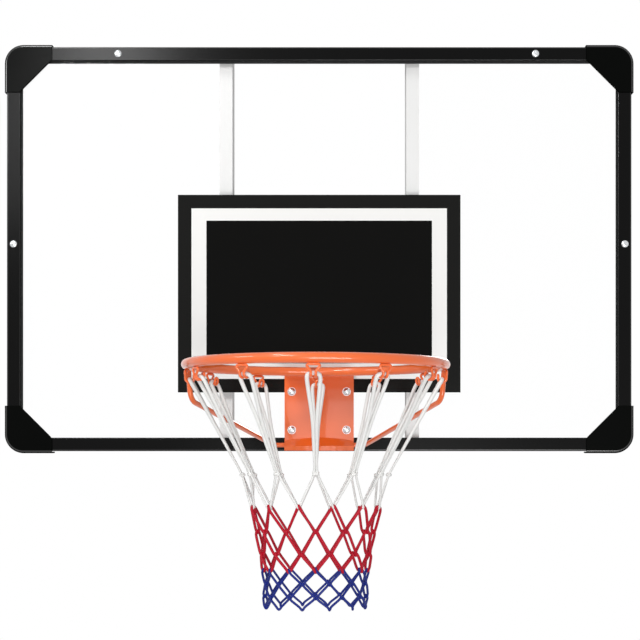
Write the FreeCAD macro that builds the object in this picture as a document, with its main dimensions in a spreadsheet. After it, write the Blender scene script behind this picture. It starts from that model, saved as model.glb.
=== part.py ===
"""Framed clear basketball backboard with a steel rim and a hanging cord net.

The board stands upright: X runs across it, Z runs up and the players stand on the -Y side.
The origin is the middle of the wall bolt pattern, on the back face of the two support bars.
Places that run towards the players are given as a "front" distance, which is -Y.
"""
import FreeCAD, Part
import math
import os
import re

import Sketcher

Vector = FreeCAD.Vector

# Driving dimensions in millimetres, angles in degrees
SIZES = {
    # Frame of four rails, measured over the outside of the rails
    "board_width": 1348.0,
    "board_height": 872.0,
    "rail_face": 29.0,
    "rail_depth": 25.0,
    "rail_wall": 2.0,
    "rail_flange": 2.2,
    "rail_outer_edge_radius": 3.0,
    "rail_inner_edge_radius": 1.0,
    "rail_end_inset": 45.0,
    # Clear panel, held in the slot of the rails
    "panel_thickness": 5.0,
    "panel_grip": 22.0,
    "panel_slot_clearance": 0.4,
    "panel_corner_radius": 30.0,
    # Target, three thin layers let into the front of the panel
    "film_thickness": 0.3,
    "target_width": 610.0,
    "target_height": 426.6,
    "target_rise": 126.7,
    "border_width": 29.3,
    "band_side": 32.2,
    "band_top": 26.4,
    "band_bottom": 33.5,
    # Corner caps and the keys that join the rails inside them
    "cap_wall": 3.0,
    "cap_gap": 1.5,
    "cap_gusset": 101.5,
    "cap_end": 1.0,
    "cap_lip": 3.0,
    "cap_corner_radius": 41.0,
    "cap_edge_radius": 6.0,
    "key_reach": 60.0,
    "key_corner_cut": 30.0,
    # Support bars behind the panel, and the crossbar welded between them
    "bar_width": 28.0,
    "bar_depth": 50.0,
    "bar_wall": 2.0,
    "bar_spacing": 406.4,
    "bar_end_gap": 4.0,
    "plug_lip": 2.5,
    "plug_reach": 8.0,
    "crossbar_height": 40.0,
    "crossbar_depth": 40.0,
    "crossbar_wall": 2.0,
    "crossbar_above_bolts": 11.8,
    # Rim bracket, its gasket and the plate behind the panel
    "plate_width": 149.0,
    "plate_thickness": 4.0,
    "plate_above_edge": 1.4,
    "lower_bolt_rise": 44.3,
    "bolt_rows": 82.5,
    "bolt_columns": 118.0,
    "rim_above_bolts": 36.3,
    "lip_drop": 27.9,
    "lip_strip": 10.0,
    "lip_radius": 429.0,
    "plate_rail_gap": 0.3,
    "gasket_inset": 1.0,
    "backing_thickness": 4.0,
    "backing_edge_gap": 2.0,
    # Rim, its two brace rods and the net hooks
    "rim_radius": 237.0,
    "rim_rod_radius": 9.0,
    "rim_reach": 379.5,
    "brace_radius": 5.0,
    "brace_attach_angle": 97.0,
    "brace_attach_outset": 3.7,
    "brace_knee_inset": 5.0,
    "brace_knee_drop": 64.0,
    "brace_knee_radius": 24.0,
    "brace_turn_run": 23.4,
    "brace_turn_radius": 16.0,
    "brace_rise": 11.8,
    "brace_rail_gap": 0.8,
    "hook_wire_radius": 2.3,
    "hook_top_half": 13.5,
    "hook_foot_half": 4.2,
    "hook_outset": 2.5,
    "hook_trough_radius": 7.5,
    "hook_neck": 12.0,
    "hook_shank": 1.1,
    "hook_tip_run": 1.8,
    "hook_bend_radius": 3.0,
    # Net cords
    "net_drop": 445.0,
    "loop_cord": 7.6,
    "white_cord": 3.8,
    "red_cord": 4.2,
    "blue_cord": 3.6,
    "loop_bend_radius": 7.0,
    "loop_leg_top": 14.0,
    # Bolts of the rim
    "rim_bolt_radius": 5.0,
    "rim_head_radius": 8.0,
    "rim_head_height": 4.6,
    "rim_socket_radius": 3.0,
    "rim_socket_depth": 2.4,
    "rim_washer_radius": 8.9,
    "rim_washer_thickness": 1.2,
    "rim_nut_radius": 9.2,
    "rim_nut_thickness": 8.0,
    "rim_bolt_tail": 4.0,
    # Screws of the frame, seen on the face of the rails
    "frame_screw_radius": 2.4,
    "frame_head_radius": 8.0,
    "frame_head_height": 3.4,
    "frame_screw_tail": 6.0,
    "recess_length": 7.0,
    "recess_width": 1.6,
    "recess_depth": 1.6,
    "top_screw_left_inset": 240.0,
    "top_screw_right_inset": 207.4,
    "side_screw_height": 11.0,
    # Screws that hold the rails to the bars, driven from inside the bars
    "bar_screw_radius": 3.0,
    "bar_head_radius": 5.5,
    "bar_head_height": 4.0,
    "bar_screw_tail": 8.0,
    "access_radius": 8.0,
    # Threaded inserts in the back of the bars, for the wall bolts
    "mount_bore_radius": 5.0,
    "mount_rows": 500.0,
    "insert_radius": 6.5,
    "insert_length": 20.0,
    "insert_bulge_radius": 8.5,
    "insert_bulge_length": 6.0,
    # Clearances, and how far every cutting tool runs past what it cuts
    "fit_clearance": 0.2,
    "bolt_clearance": 0.3,
    "weld_gap": 0.1,
    "cord_gap": 0.3,
    "overrun": 2.0,
}

# Places that follow from the sizes
PLACES = {
    "board_side": "board_width / 2",
    "board_top": "board_height / 2",
    "rail_front": "bar_depth + rail_depth",
    "panel_front": "rail_front - rail_flange",
    "panel_back": "panel_front - panel_thickness",
    "slot_back": "panel_back - panel_slot_clearance",
    "panel_side": "board_side - rail_face + panel_grip",
    "panel_top": "board_top - rail_face + panel_grip",
    "target_side": "target_width / 2",
    "target_bottom": "target_rise - board_top",
    "target_top": "target_bottom + target_height",
    "band_outer_side": "target_side - border_width",
    "band_outer_bottom": "target_bottom + border_width",
    "band_outer_top": "target_top - border_width",
    "field_side": "band_outer_side - band_side",
    "field_bottom": "band_outer_bottom + band_bottom",
    "field_top": "band_outer_top - band_top",
    "cap_proud": "cap_wall + cap_gap",
    "cap_side": "board_side + cap_proud",
    "cap_top": "board_top + cap_proud",
    "cap_front": "rail_front + fit_clearance + cap_wall",
    "cap_inner": "cap_proud + rail_face",
    "cap_leg": "cap_gusset + cap_end",
    "gusset_line": "cap_gusset + cap_inner - cap_lip * sqrt(2)",
    "key_outer": "rail_wall + fit_clearance",
    "key_inner": "rail_face - rail_wall - fit_clearance",
    "key_end": "rail_end_inset + key_reach",
    "bar_middle": "bar_spacing / 2",
    "bar_inner_side": "bar_middle - bar_width / 2",
    "bar_end": "board_top - bar_end_gap",
    "plate_side": "plate_width / 2",
    "plate_bottom": "plate_above_edge - board_top",
    "lower_bolt": "plate_bottom + lower_bolt_rise",
    "upper_bolt": "lower_bolt + bolt_rows",
    "rim_level": "upper_bolt + rim_above_bolts",
    "rim_front": "panel_front + rim_reach",
    "gasket_front": "rail_front + plate_rail_gap",
    "plate_front": "gasket_front + plate_thickness",
    "plate_top": "rim_level + plate_thickness / 2",
    "backing_back": "panel_back - backing_thickness",
    "crossbar_bottom": "upper_bolt + crossbar_above_bolts",
    "crossbar_top": "crossbar_bottom + crossbar_height",
    "crossbar_back": "backing_back - crossbar_depth",
    "lip_reach": "lip_drop - lip_strip",
    "lip_axis": "plate_front + lip_reach - lip_radius",
    "strip_top": "plate_bottom + lip_strip",
    "lip_inner_radius": "lip_radius - plate_thickness",
    "strip_inner_top": "strip_top - plate_thickness * (sqrt(2) - 1)",
    "brace_front": "rail_front + brace_rail_gap + brace_radius",
    "brace_level": "plate_bottom + brace_rise",
    "bar_screw_level": "board_top - rail_face / 2",
}

# Net rows, from the knots under the hooks down to the tips
HOOK_COUNT = 12
NET_DROP_SHARES = (0.453, 0.589, 0.688, 0.780, 0.847, 0.900, 0.954, 1.0)
NET_RADIUS_SHARES = (0.578, 0.508, 0.456, 0.432, 0.408, 0.397, 0.397, 0.397)
WHITE_ROW_COUNT = 1
RED_ROW_COUNT = 4
KNOT_SHARES = {"white": 1.55, "red": 1.36, "blue": 1.7}
TIP_SHARE = 1.1
LOOP_MEET_SHARE = 0.5
FULL_BEND_SHARE = 0.99
VOLUME_ERROR_SHARE = 0.01
FULL_TURN = 360.0
TOLERANCE = 1e-6
SPARE_CELL = "A1"

LEFT, RIGHT = "-1", "1"
CORNERS = {"top_left": ("-1", "1"), "top_right": ("1", "1"),
           "bottom_left": ("-1", "-1"), "bottom_right": ("1", "-1")}

doc = FreeCAD.newDocument("backboard")
sheet = doc.addObject("Spreadsheet::Sheet", "sizes")
working = doc.addObject("Spreadsheet::Sheet", "working")
pieces = []


def fill_sheet():
    """Write the sizes, and the places that follow from them, into the sheet."""
    row = 0
    for name, value in SIZES.items():
        row += 1
        sheet.set(f"A{row}", name)
        sheet.set(f"B{row}", str(value))
        sheet.setAlias(f"B{row}", name)
    for name, formula in PLACES.items():
        row += 1
        sheet.set(f"A{row}", name)
        sheet.set(f"B{row}", "=" + formula)
        sheet.setAlias(f"B{row}", name)
    doc.recompute()


def tied(text):
    """The expression with every named size pointed at its cell of the sheet."""
    def cell(word):
        known = word[0] in SIZES or word[0] in PLACES
        return "sizes." + word[0] if known else word[0]
    return re.sub(r"[a-z][a-z_]*", cell, text)


def number(text):
    """The value of an expression in named sizes, worked out in a cell of the working sheet."""
    working.set(SPARE_CELL, "=" + tied(text))
    working.recompute()
    return float(working.get(SPARE_CELL))


def bind(thing, expressions):
    """Tie properties of an object to expressions in named sizes."""
    for name, text in expressions.items():
        thing.setExpression(name, tied(text))


def piece(node, thing):
    """Name a finished object as a node of the part."""
    thing.Label = node
    pieces.append(thing)
    return thing


def slab(name, across, front, up):
    """A block between two places across, two to the front and two up."""
    block = doc.addObject("Part::Box", name)
    bind(block, {
        "Length": f"({across[1]}) - ({across[0]})",
        "Width": f"({front[1]}) - ({front[0]})",
        "Height": f"({up[1]}) - ({up[0]})",
        "Placement.Base.x": across[0],
        "Placement.Base.y": f"-({front[1]})",
        "Placement.Base.z": up[0],
    })
    return block


def facing_front(thing, x, front, z):
    """Turn a round primitive so that its axis points to the front, and place its base."""
    thing.Placement = FreeCAD.Placement(Vector(), FreeCAD.Rotation(Vector(1, 0, 0), 90))
    bind(thing, {"Placement.Base.x": x, "Placement.Base.y": f"-({front})", "Placement.Base.z": z})
    return thing


def pin(name, radius, x, front, z):
    """A round bar that runs between two front distances."""
    bar = doc.addObject("Part::Cylinder", name)
    bind(bar, {"Radius": radius, "Height": f"({front[1]}) - ({front[0]})"})
    return facing_front(bar, x, front[0], z)


def hexagon(name, radius, x, front, z):
    """A six-sided bar that runs between two front distances."""
    bar = doc.addObject("Part::Prism", name)
    bar.Polygon = 6
    bind(bar, {"Circumradius": radius, "Height": f"({front[1]}) - ({front[0]})"})
    return facing_front(bar, x, front[0], z)


def dome(name, radius, height, x, front, z):
    """A low round head that stands on a front distance."""
    head = doc.addObject("Part::Ellipsoid", name)
    head.Angle1 = 0
    bind(head, {"Radius1": height, "Radius2": radius, "Radius3": radius})
    return facing_front(head, x, front, z)


def post(name, radius, front, up):
    """A round post on the middle of the board, upright between two levels."""
    body = doc.addObject("Part::Cylinder", name)
    bind(body, {"Radius": radius, "Height": f"({up[1]}) - ({up[0]})",
                "Placement.Base.y": f"-({front})", "Placement.Base.z": up[0]})
    return body


def spire(name, radius, front, up):
    """A cone on the middle of the board that narrows at 45 degrees between two levels."""
    body = doc.addObject("Part::Cone", name)
    height = f"(({up[1]}) - ({up[0]}))"
    bind(body, {"Radius1": radius, "Radius2": f"{radius} - {height}", "Height": height,
                "Placement.Base.y": f"-({front})", "Placement.Base.z": up[0]})
    return body


def fuse(name, things):
    """The things joined into one solid."""
    whole = doc.addObject("Part::MultiFuse", name)
    whole.Shapes = things
    return whole


def common(name, first, second):
    """What two things share."""
    shared = doc.addObject("Part::MultiCommon", name)
    shared.Shapes = [first, second]
    return shared


def cut(name, base, tools):
    """The base with every tool taken away."""
    rest = doc.addObject("Part::Cut", name)
    rest.Base = base
    rest.Tool = tools[0] if len(tools) == 1 else fuse(name + "_tools", tools)
    return rest


def group(name, things):
    """Separate solids that share one node."""
    bundle = doc.addObject("Part::Compound", name)
    bundle.Links = things
    return bundle


def draw_loop(sketch, loop):
    """Draw one closed outline, each corner tied to its two expressions."""
    first = len(sketch.Geometry)
    count = len(loop)
    corners = [Vector(number(x), number(y), 0) for x, y in loop]
    for index in range(count):
        line = Part.LineSegment(corners[index], corners[(index + 1) % count])
        sketch.addGeometry(line, False)
    for index in range(count):
        following = first + (index + 1) % count
        sketch.addConstraint(Sketcher.Constraint("Coincident", first + index, 2, following, 1))
    for index, (x, y) in enumerate(loop):
        for kind, value, text in (("DistanceX", corners[index].x, x), ("DistanceY", corners[index].y, y)):
            place = sketch.addConstraint(Sketcher.Constraint(kind, -1, 1, first + index, 1, value))
            sketch.setExpression(f"Constraints[{place}]", tied(text))


def padded(name, plane, loops, start, length):
    """A body padded from outlines drawn on one of its origin planes."""
    body = doc.addObject("PartDesign::Body", name)
    sketch = body.newObject("Sketcher::SketchObject", name + "_outline")
    support = [feature for feature in body.Origin.OriginFeatures if feature.Role == plane]
    sketch.AttachmentSupport = (support[0], [""])
    sketch.MapMode = "FlatFace"
    sketch.setExpression("AttachmentOffset.Base.z", tied(start))
    for loop in loops:
        draw_loop(sketch, loop)
    pad = body.newObject("PartDesign::Pad", name + "_pad")
    pad.Profile = sketch
    pad.setExpression("Length", tied(length))
    return body


def rounded(body, name, radius, chosen):
    """Round the edges of a body that a test picks."""
    doc.recompute()
    base = body.Tip
    edges = [f"Edge{index}" for index, edge in enumerate(base.Shape.Edges, 1) if chosen(edge)]
    feature = body.newObject("PartDesign::Fillet", name)
    feature.Base = (base, edges)
    feature.setExpression("Radius", tied(radius))


def lies_at(edge, **places):
    """Whether both ends of an edge lie at the given coordinates."""
    for axis, text in places.items():
        wanted = number(text)
        if any(abs(getattr(corner.Point, axis) - wanted) > TOLERANCE for corner in edge.Vertexes):
            return False
    return True


def rounded_path(points, radii):
    """Straight runs through the points, with a tangent arc at each corner."""
    edges = []
    here = points[0]
    for before, corner, after, radius in zip(points, points[1:], points[2:], radii):
        back = (before - corner).normalize()
        ahead = (after - corner).normalize()
        half_angle = back.getAngle(ahead) / 2
        start = corner + back * (radius / math.tan(half_angle))
        end = corner + ahead * (radius / math.tan(half_angle))
        middle = corner + (back + ahead).normalize() * (radius / math.sin(half_angle) - radius)
        if (start - here).Length > TOLERANCE:
            edges.append(Part.LineSegment(here, start).toShape())
        edges.append(Part.Arc(start, middle, end).toShape())
        here = end
    edges.append(Part.LineSegment(here, points[-1]).toShape())
    return Part.Wire(edges)


def bent_rod(points, radii, radius):
    """A round rod along straight runs and arcs."""
    path = rounded_path(points, radii)
    section = Part.Wire(Part.makeCircle(radius, points[0], points[1] - points[0]))
    rod = path.makePipeShell([section], True, False)
    expected = math.pi * radius ** 2 * path.Length
    if abs(rod.Volume / expected - 1) > VOLUME_ERROR_SHARE:
        raise RuntimeError("a bent rod lost volume")
    return rod


def around_rim(shape, turn):
    """A copy of a shape, turned about the upright axis of the rim."""
    copy = shape.copy()
    copy.rotate(Vector(), Vector(0, 0, 1), turn)
    return copy


def ring_of(shape):
    """Copies of a shape at every hook place round the rim."""
    return [around_rim(shape, FULL_TURN * index / HOOK_COUNT) for index in range(HOOK_COUNT)]


def at_rim(node, shape):
    """A node whose shape is drawn about the centre of the rim."""
    thing = doc.addObject("Part::Feature", node)
    thing.Shape = shape
    bind(thing, {"Placement.Base.y": "-rim_front", "Placement.Base.z": "rim_level"})
    return piece(node, thing)


def both_rows(level):
    """A level above the middle of the board and its match below."""
    return (level, f"-({level})")


def frame_screw_places():
    """Where the frame screws stand, as pairs of expressions across and up."""
    edge = "board_top - rail_face / 2"
    side = "board_side - rail_face / 2"
    return (("top_screw_left_inset - board_side", edge), ("board_side - top_screw_right_inset", edge),
            (f"-({side})", "side_screw_height"), (side, "side_screw_height"))


def rim_bolt_places():
    """Where the rim bolts stand, as pairs of expressions across and up."""
    return [(f"{side} * bolt_columns / 2", level)
            for level in ("upper_bolt", "lower_bolt") for side in (LEFT, RIGHT)]


def rim_bolt_holes(name, front):
    """Clearance holes for the rim bolts between two front distances."""
    return [pin(f"{name}_hole_{index}", "rim_bolt_radius + bolt_clearance", x, front, z)
            for index, (x, z) in enumerate(rim_bolt_places())]


def make_rails():
    """Four slotted box rails with screw holes, their ends hidden under the caps."""
    outer = [("0", "bar_depth"), ("0", "rail_front"), ("rail_face", "rail_front"),
             ("rail_face", "panel_front"), ("rail_wall", "panel_front"), ("rail_wall", "slot_back"),
             ("rail_face", "slot_back"), ("rail_face", "bar_depth")]
    chamber = [("rail_wall", "bar_depth + rail_wall"), ("rail_wall", "slot_back - rail_wall"),
               ("rail_face - rail_wall", "slot_back - rail_wall"),
               ("rail_face - rail_wall", "bar_depth + rail_wall")]
    for node, sign in (("rail_top", "1"), ("rail_bottom", "-1"), ("rail_left", "-1"), ("rail_right", "1")):
        level = node in ("rail_top", "rail_bottom")
        reach = "board_top" if level else "board_side"
        half = "board_side - rail_end_inset" if level else "board_top - rail_end_inset"
        loops = []
        for loop in (outer, chamber):
            if level:
                loops.append([(f"-({front})", f"{sign} * ({reach} - ({inset}))") for inset, front in loop])
            else:
                loops.append([(f"{sign} * ({reach} - ({inset}))", f"-({front})") for inset, front in loop])
        plane = "YZ_Plane" if level else "XY_Plane"
        body = padded(node + "_section", plane, loops, f"-({half})", f"2 * ({half})")
        axis = "z" if level else "x"
        outside = {"y": "-rail_front", axis: f"{sign} * {reach}"}
        inside = {"y": "-rail_front", axis: f"{sign} * ({reach} - rail_face)"}
        rounded(body, node + "_outer_edge", "rail_outer_edge_radius", lambda edge: lies_at(edge, **outside))
        rounded(body, node + "_inner_edge", "rail_inner_edge_radius", lambda edge: lies_at(edge, **inside))
        piece(node, cut(node, body, rail_holes(node, level, sign)))


def rail_holes(node, level, sign):
    """The screw holes of one rail."""
    holes = []
    front_hole = ("slot_back - rail_wall - overrun", "rail_front + overrun")
    for index, (x, z) in enumerate(frame_screw_places()):
        on_top = index < 2
        wanted = on_top if level else not on_top and (sign == LEFT) == (index == 2)
        if wanted and node != "rail_bottom":
            holes.append(pin(f"{node}_face_hole_{index}", "frame_screw_radius + fit_clearance",
                             x, front_hole, z))
    if level:
        back_hole = ("bar_depth - overrun", "bar_depth + rail_wall + overrun")
        for side in (LEFT, RIGHT):
            holes.append(pin(f"{node}_back_hole", "bar_screw_radius + fit_clearance",
                             f"{side} * bar_middle", back_hole, f"{sign} * bar_screw_level"))
    return holes


def make_panel():
    """The clear panel, with a shallow recess for the target and its bolt holes."""
    corners = [("-panel_side", "-panel_top"), ("panel_side", "-panel_top"),
               ("panel_side", "panel_top"), ("-panel_side", "panel_top")]
    body = padded("panel_sheet", "XZ_Plane", [corners], "panel_back", "panel_thickness")
    rounded(body, "panel_corners", "panel_corner_radius",
            lambda edge: any(lies_at(edge, x=x, z=z) for x, z in corners))
    through = ("panel_back - overrun", "panel_front + overrun")
    tools = [slab("target_recess", ("-target_side", "target_side"),
                  ("panel_front - film_thickness", "panel_front + overrun"), ("target_bottom", "target_top"))]
    tools += rim_bolt_holes("panel", through)
    for index, (x, z) in enumerate(frame_screw_places()):
        tools.append(pin(f"panel_screw_hole_{index}", "frame_screw_radius + bolt_clearance", x, through, z))
    piece("panel", cut("panel", body, tools))


def make_target():
    """The target: a black border, a white band inside it and a black field, all cleared for the bolts."""
    depth = ("panel_front - film_thickness", "panel_front")
    through = ("panel_front - film_thickness - overrun", "panel_front + overrun")
    outlines = {
        "target_border": ("target_side", "target_bottom", "target_top"),
        "target_band": ("band_outer_side", "band_outer_bottom", "band_outer_top"),
        "target_field": ("field_side", "field_bottom", "field_top"),
    }

    def layer(name, outline, front):
        side, bottom, top = outline
        return slab(name, (f"-{side}", side), front, (bottom, top))

    nodes = list(outlines)
    for node, inner in zip(nodes, nodes[1:] + [None]):
        tools = rim_bolt_holes(node, through)
        if inner:
            tools.append(layer(node + "_window", outlines[inner], through))
        piece(node, cut(node, layer(node + "_layer", outlines[node], depth), tools))


def make_corners():
    """The moulded corner caps, and the keys that join the rails inside them."""
    end = "cap_leg + overrun"
    inner = "cap_inner + overrun"
    shell = [("0", "0"), ("cap_leg", "0"), ("cap_leg", "cap_inner"), ("cap_gusset", "cap_inner"),
             ("cap_inner", "cap_gusset"), ("cap_inner", "cap_leg"), ("0", "cap_leg")]
    hollow = [("cap_wall", "cap_wall"), (end, "cap_wall"), (end, end), ("cap_wall", end)]
    channel = [("cap_wall", "cap_wall"), (end, "cap_wall"), (end, inner), (f"gusset_line - ({inner})", inner),
               (inner, f"gusset_line - ({inner})"), (inner, end), ("cap_wall", end)]
    key = [("key_corner_cut", "key_outer"), ("key_end", "key_outer"), ("key_end", "key_inner"),
           ("key_inner", "key_inner"), ("key_inner", "key_end"), ("key_outer", "key_end"),
           ("key_outer", "key_corner_cut")]
    for corner, (across, up) in CORNERS.items():
        def placed(loop, side, top):
            return [(f"{across} * ({side} - ({x}))", f"{up} * ({top} - ({z}))") for x, z in loop]

        def round_corner(body, inset, radius):
            spot = {"x": f"{across} * (cap_side - {inset})", "z": f"{up} * (cap_top - {inset})"}
            rounded(body, body.Name + "_corner", radius, lambda edge: lies_at(edge, **spot))

        def on_outer_front(edge):
            flat = lies_at(edge, y="-cap_front")
            straight = lies_at(edge, x=f"{across} * cap_side") or lies_at(edge, z=f"{up} * cap_top")
            return flat and (straight or isinstance(edge.Curve, Part.Circle))

        back = "bar_depth - overrun"
        cover = padded(f"cap_{corner}_shell", "XZ_Plane", [placed(shell, "cap_side", "cap_top")],
                       "bar_depth", "cap_front - bar_depth")
        round_corner(cover, "0", "cap_corner_radius")
        rounded(cover, f"cap_{corner}_edge", "cap_edge_radius", on_outer_front)
        tools = []
        for name, loop, front in (("hollow", hollow, "panel_front + fit_clearance"),
                                  ("channel", channel, "rail_front + fit_clearance")):
            tool = padded(f"cap_{corner}_{name}", "XZ_Plane", [placed(loop, "cap_side", "cap_top")],
                          back, f"{front} - ({back})")
            round_corner(tool, "cap_wall", "cap_corner_radius - cap_wall")
            tools.append(tool)
        piece(f"corner_cap_{corner}", cut(f"corner_cap_{corner}", cover, tools))
        chamber_back = "bar_depth + rail_wall + fit_clearance"
        chamber_front = "slot_back - rail_wall - fit_clearance"
        piece(f"corner_key_{corner}", padded(f"corner_key_{corner}", "XZ_Plane",
                                             [placed(key, "board_side", "board_top")],
                                             chamber_back, f"{chamber_front} - ({chamber_back})"))


def make_bars():
    """Two white box tubes behind the panel, with end plugs and wall inserts."""
    plugs = []
    inserts = []
    back_wall = ("-overrun", "bar_wall + overrun")
    for node, side in (("support_bar_left", LEFT), ("support_bar_right", RIGHT)):
        middle = f"{side} * bar_middle"
        outside = (f"{middle} - bar_width / 2", f"{middle} + bar_width / 2")
        inside = (f"{outside[0]} + bar_wall", f"{outside[1]} - bar_wall")
        tube = slab(node + "_tube", outside, ("0", "bar_depth"), ("-bar_end", "bar_end"))
        tools = [slab(node + "_bore", inside, ("bar_wall", "bar_depth - bar_wall"),
                      ("-bar_end - overrun", "bar_end + overrun"))]
        for level in both_rows("bar_screw_level"):
            tools.append(pin(node + "_access", "access_radius", middle, back_wall, level))
            tools.append(pin(node + "_screw_hole", "bar_screw_radius + fit_clearance", middle,
                             ("bar_depth - bar_wall - overrun", "bar_depth + overrun"), level))
        for level in both_rows("mount_rows / 2"):
            tools.append(pin(node + "_insert_hole", "insert_radius + weld_gap", middle, back_wall, level))
            inserts.append(wall_insert(node, middle, level))
        piece(node, cut(node, tube, tools))
        snug = [f"{inside[0]} + fit_clearance", f"{inside[1]} - fit_clearance"]
        depth = ("bar_wall + fit_clearance", "bar_depth - bar_wall - bar_head_height - fit_clearance")
        for lip, plug in ((("bar_end", "bar_end + plug_lip"), ("bar_end - plug_reach", "bar_end")),
                          (("-bar_end - plug_lip", "-bar_end"), ("-bar_end", "plug_reach - bar_end"))):
            plugs.append(fuse(node + "_plug", [slab(node + "_plug_lip", outside, ("0", "bar_depth"), lip),
                                               slab(node + "_plug_core", snug, depth, plug)]))
    piece("bar_end_plugs", group("bar_end_plugs", plugs))
    piece("wall_inserts", group("wall_inserts", inserts))


def wall_insert(name, x, z):
    """A threaded insert set in the back wall of a bar, its bulge behind the wall."""
    shell = pin(name + "_insert_shell", "insert_radius", x, ("0", "insert_length"), z)
    bulge = pin(name + "_insert_bulge", "insert_bulge_radius", x,
                ("bar_wall", "bar_wall + insert_bulge_length"), z)
    bore = pin(name + "_insert_bore", "mount_bore_radius", x, ("-overrun", "insert_length + overrun"), z)
    return cut(name + "_insert", fuse(name + "_insert_body", [shell, bulge]), [bore])


def make_crossbar():
    """The box tube between the bars, and the backing plate welded on its front."""
    across = ("-bar_inner_side", "bar_inner_side")
    tube = slab("crossbar_tube", across, ("crossbar_back", "backing_back"),
                ("crossbar_bottom", "crossbar_top"))
    bore = slab("crossbar_bore", ("-bar_inner_side - overrun", "bar_inner_side + overrun"),
                ("crossbar_back + crossbar_wall", "backing_back - crossbar_wall"),
                ("crossbar_bottom + crossbar_wall", "crossbar_top - crossbar_wall"))
    piece("rear_crossbar", cut("rear_crossbar", tube, [bore]))
    plate = slab("backing_sheet", ("-plate_side", "plate_side"), ("backing_back", "panel_back"),
                 ("rail_face + backing_edge_gap - board_top", "crossbar_top"))
    piece("backing_plate", cut("backing_plate", plate,
                               rim_bolt_holes("backing", ("backing_back - overrun", "panel_back + overrun"))))


def make_bracket():
    """The rim bracket: a flat plate, a shelf out to the rim and a bowed lip below.

    The lip leaves the plate along an arched fold, slopes out at 45 degrees and ends in an upright strip.
    """
    across = ("-plate_side", "plate_side")
    plate = slab("bracket_plate", across, ("gasket_front", "plate_front"), ("plate_bottom", "plate_top"))
    shelf = slab("bracket_shelf", across, ("gasket_front", "rim_front - rim_radius + rim_rod_radius"),
                 ("plate_top - plate_thickness", "plate_top"))
    lip_room = slab("bracket_lip_room", across, ("gasket_front", "plate_front + lip_reach + overrun"),
                    ("plate_bottom", "plate_bottom + lip_drop"))
    strip = post("bracket_strip", "lip_radius", "lip_axis", ("plate_bottom", "strip_top"))
    slope = spire("bracket_slope", "lip_radius", "lip_axis", ("strip_top", "plate_bottom + lip_drop"))
    lip = common("bracket_lip", lip_room, fuse("bracket_lip_form", [strip, slope]))
    strip_back = post("bracket_strip_back", "lip_inner_radius", "lip_axis",
                      ("plate_bottom - overrun", "strip_inner_top"))
    slope_back = spire("bracket_slope_back", "lip_inner_radius", "lip_axis",
                       ("strip_inner_top", "strip_inner_top + lip_reach + overrun"))
    seat = post("bracket_rim_seat", "rim_radius + rim_rod_radius + weld_gap", "rim_front",
                ("plate_top - plate_thickness - overrun", "plate_top + overrun"))
    holes = rim_bolt_holes("bracket", ("gasket_front - overrun", "plate_front + overrun"))
    body = fuse("bracket_body", [plate, shelf, lip])
    piece("rim_bracket", cut("rim_bracket", body, [strip_back, slope_back, seat] + holes))
    gasket = slab("gasket_sheet", ("gasket_inset - plate_side", "plate_side - gasket_inset"),
                  ("panel_front", "gasket_front"),
                  ("rail_face + gasket_inset - board_top", "plate_top - gasket_inset"))
    piece("rim_gasket", cut("rim_gasket", gasket,
                            rim_bolt_holes("gasket", ("panel_front - overrun", "gasket_front + overrun"))))


def make_rim():
    """The rim ring and the two rods that brace it to the sides of the bracket lip."""
    ring = doc.addObject("Part::Torus", "rim_ring")
    bind(ring, {"Radius1": "rim_radius", "Radius2": "rim_rod_radius",
                "Placement.Base.y": "-rim_front", "Placement.Base.z": "rim_level"})
    piece("rim_ring", ring)
    radius = number("brace_radius")
    bends = (number("brace_knee_radius"), number("brace_turn_radius"))
    attach = math.radians(number("brace_attach_angle"))
    start = number("rim_radius + brace_attach_outset")
    level = number("brace_level - rim_level")
    setback = number("rim_front - brace_front")
    weld = Part.makeTorus(number("rim_radius"), number("rim_rod_radius + weld_gap"))
    across, behind = start * math.sin(attach), -start * math.cos(attach)
    for node, side in (("rim_brace_left", -1), ("rim_brace_right", 1)):
        points = [Vector(side * across, behind, 0),
                  Vector(side * (across - number("brace_knee_inset")), behind, -number("brace_knee_drop")),
                  Vector(side * number("plate_side + brace_turn_run"), setback, level),
                  Vector(side * number("plate_side + weld_gap"), setback, level)]
        at_rim(node, bent_rod(points, bends, radius).cut(weld))


def hook_levels():
    """Levels of a hook from the plane of the rim: its bar, its shoulders and the bottom of its trough."""
    seat = number("rim_rod_radius + hook_wire_radius + weld_gap")
    bar = -math.sqrt(seat ** 2 - number("hook_outset") ** 2)
    shoulder = bar - number("hook_neck")
    return bar, shoulder, shoulder - number("hook_shank + hook_trough_radius")


def make_hooks():
    """Twelve wire hooks welded under the rim, each bent up to hold a cord, its seam on the weld."""
    top, foot = number("hook_top_half"), number("hook_foot_half")
    trough = number("hook_trough_radius")
    bend = number("hook_bend_radius")
    bar, shoulder, low = hook_levels()
    tip = low + trough + foot + number("hook_tip_run")
    outer = -number("rim_radius + hook_outset")
    inner = outer + 2 * trough
    tight = trough * FULL_BEND_SHARE
    right = [Vector(number("weld_gap") / 2, outer, bar), Vector(top, outer, bar),
             Vector(foot, outer, shoulder), Vector(foot, outer, low),
             Vector(foot, inner, low), Vector(foot, inner, tip)]
    radii = [bend, bend, tight, tight, foot * FULL_BEND_SHARE]
    left = [Vector(-spot.x, spot.y, spot.z) for spot in reversed(right)]
    hook = bent_rod(right + left, radii + radii[::-1], number("hook_wire_radius"))
    at_rim("net_hooks", Part.makeCompound(ring_of(hook)))


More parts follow.
